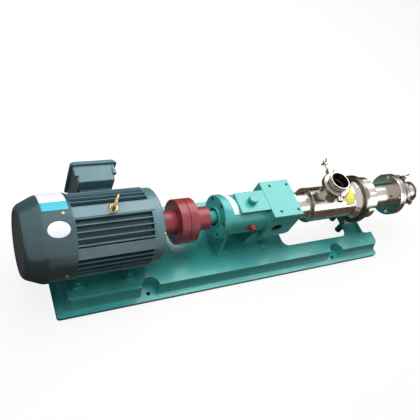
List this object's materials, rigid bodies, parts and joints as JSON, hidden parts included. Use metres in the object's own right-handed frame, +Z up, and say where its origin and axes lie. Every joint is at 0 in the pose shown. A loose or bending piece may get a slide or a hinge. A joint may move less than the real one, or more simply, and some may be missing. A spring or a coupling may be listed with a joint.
{
  "type": "progressive cavity pump",
  "caption": "Progressive cavity pump on a cast base: finned motor, pin coupling, bearing lantern, stainless suction casing with top nozzle, stator tube and clamped discharge.",
  "frame": {"origin": "middle of the four anchor holes, level with the underside of the base", "axes": "+X along the shaft from the motor to the discharge, +Z up, the terminal box on the +Y side"},
  "size_m": [1.698, 0.404, 0.416],
  "materials": {
    "base_paint": "teal enamel over cast iron",
    "housing_paint": "teal enamel over cast iron",
    "motor_paint": "grey-green enamel over cast iron",
    "coupling_paint": "dark red enamel",
    "stainless": "polished stainless steel",
    "dark_steel": "dark polished steel",
    "zinc": "yellow passivated zinc",
    "machined_steel": "turned steel",
    "black_plastic": "moulded black plastic",
    "red_plug": "red plug",
    "rubber": "black rubber"
  },
  "bodies": {
    "root": {"base_plate": "base_paint", "pump_support": "base_paint", "bearing_housing": "housing_paint", "bearing_cover": "housing_paint", "top_cover_plate": "housing_paint", "grease_cup": "housing_paint", "housing_foot_bolts": "housing_paint", "motor_foot_bolts": "housing_paint", "motor_frame": "motor_paint", "drive_end_shield": "motor_paint", "rear_end_shield": "motor_paint", "fan_cowl": "motor_paint", "terminal_box": "motor_paint", "terminal_box_lid": "motor_paint", "suction_casing": "stainless", "suction_stub": "stainless", "stator_tube": "stainless", "union_nut": "stainless", "discharge_body": "stainless", "outlet_stub": "stainless", "suction_clamp_segments": "stainless", "discharge_clamp_segments": "stainless", "suction_clamp_pins": "stainless", "discharge_clamp_pins": "stainless", "flange_bolts": "stainless", "seal_gland": "stainless", "gland_studs": "stainless", "clamping_ring": "dark_steel", "eye_bolt": "zinc", "support_bolts": "zinc", "casing_bolts": "zinc", "cowl_screws": "zinc", "terminal_lid_screws": "zinc", "shield_bolts": "zinc", "cover_screws": "machined_steel", "motor_bearings": "machined_steel", "drive_bearings": "machined_steel", "stator_core": "machined_steel", "cable_gland": "black_plastic", "oil_plug": "red_plug", "stator_rubber": "rubber", "oil_seal": "rubber", "joint_gaskets": "rubber", "packing_rings": "rubber"},
    "drive_train": {"motor_shaft": "machined_steel", "rotor_core": "machined_steel", "cooling_fan": "black_plastic", "motor_coupling_half": "coupling_paint", "pump_coupling_half": "coupling_paint", "coupling_pins": "coupling_paint", "coupling_bushes": "rubber", "shaft_keys": "machined_steel", "drive_shaft": "machined_steel"},
    "coupling_rod": {"coupling_rod": "stainless"},
    "pump_rotor": {"pump_rotor": "stainless"},
    "grease_cup_cap": {"grease_cup_cap": "housing_paint"},
    "suction_swing_bolt": {"suction_swing_bolt": "stainless"},
    "suction_wing_nut": {"suction_wing_nut": "stainless"},
    "discharge_swing_bolt": {"discharge_swing_bolt": "stainless"},
    "discharge_wing_nut": {"discharge_wing_nut": "stainless"}
  },
  "joints": [
    {"name": "drive_spin", "type": "hinge", "parent": "root", "child": "drive_train", "pos_m": [0, 0, 0.216], "axis": [1, 0, 0], "continuous": true},
    {"name": "rod_orbit", "type": "hinge", "parent": "root", "child": "coupling_rod", "pos_m": [0, 0, 0.216], "axis": [1, 0, 0], "continuous": true},
    {"name": "rotor_spin", "type": "hinge", "parent": "coupling_rod", "child": "pump_rotor", "pos_m": [0, 0.006, 0.216], "axis": [1, 0, 0], "continuous": true},
    {"name": "grease_cap_turn", "type": "hinge", "parent": "root", "child": "grease_cup_cap", "pos_m": [-0.048, 0, 0.3], "axis": [0, 0, 1], "range_deg": [-90, 270]},
    {"name": "suction_bolt_swing", "type": "hinge", "parent": "root", "child": "suction_swing_bolt", "pos_m": [0.32759, 0.07124, 0.336], "axis": [0, 0, 1], "range_deg": [-98, 12]},
    {"name": "suction_nut_spin", "type": "hinge", "parent": "suction_swing_bolt", "child": "suction_wing_nut", "pos_m": [0.32759, 0.07124, 0.336], "axis": [0.1219, 0.9925, 0], "continuous": true},
    {"name": "discharge_bolt_swing", "type": "hinge", "parent": "root", "child": "discharge_swing_bolt", "pos_m": [0.7832, 0.06074, 0.2535], "axis": [-1, 0, 0], "range_deg": [0, 110]},
    {"name": "discharge_nut_spin", "type": "hinge", "parent": "discharge_swing_bolt", "child": "discharge_wing_nut", "pos_m": [0.7832, 0.06074, 0.2535], "axis": [0, -0.682, 0.7314], "continuous": true}
  ],
  "couplings": [
    {"joint": "rod_orbit", "follows": "drive_spin", "ratio": -1},
    {"joint": "rotor_spin", "follows": "drive_spin", "ratio": 2}
  ]
}
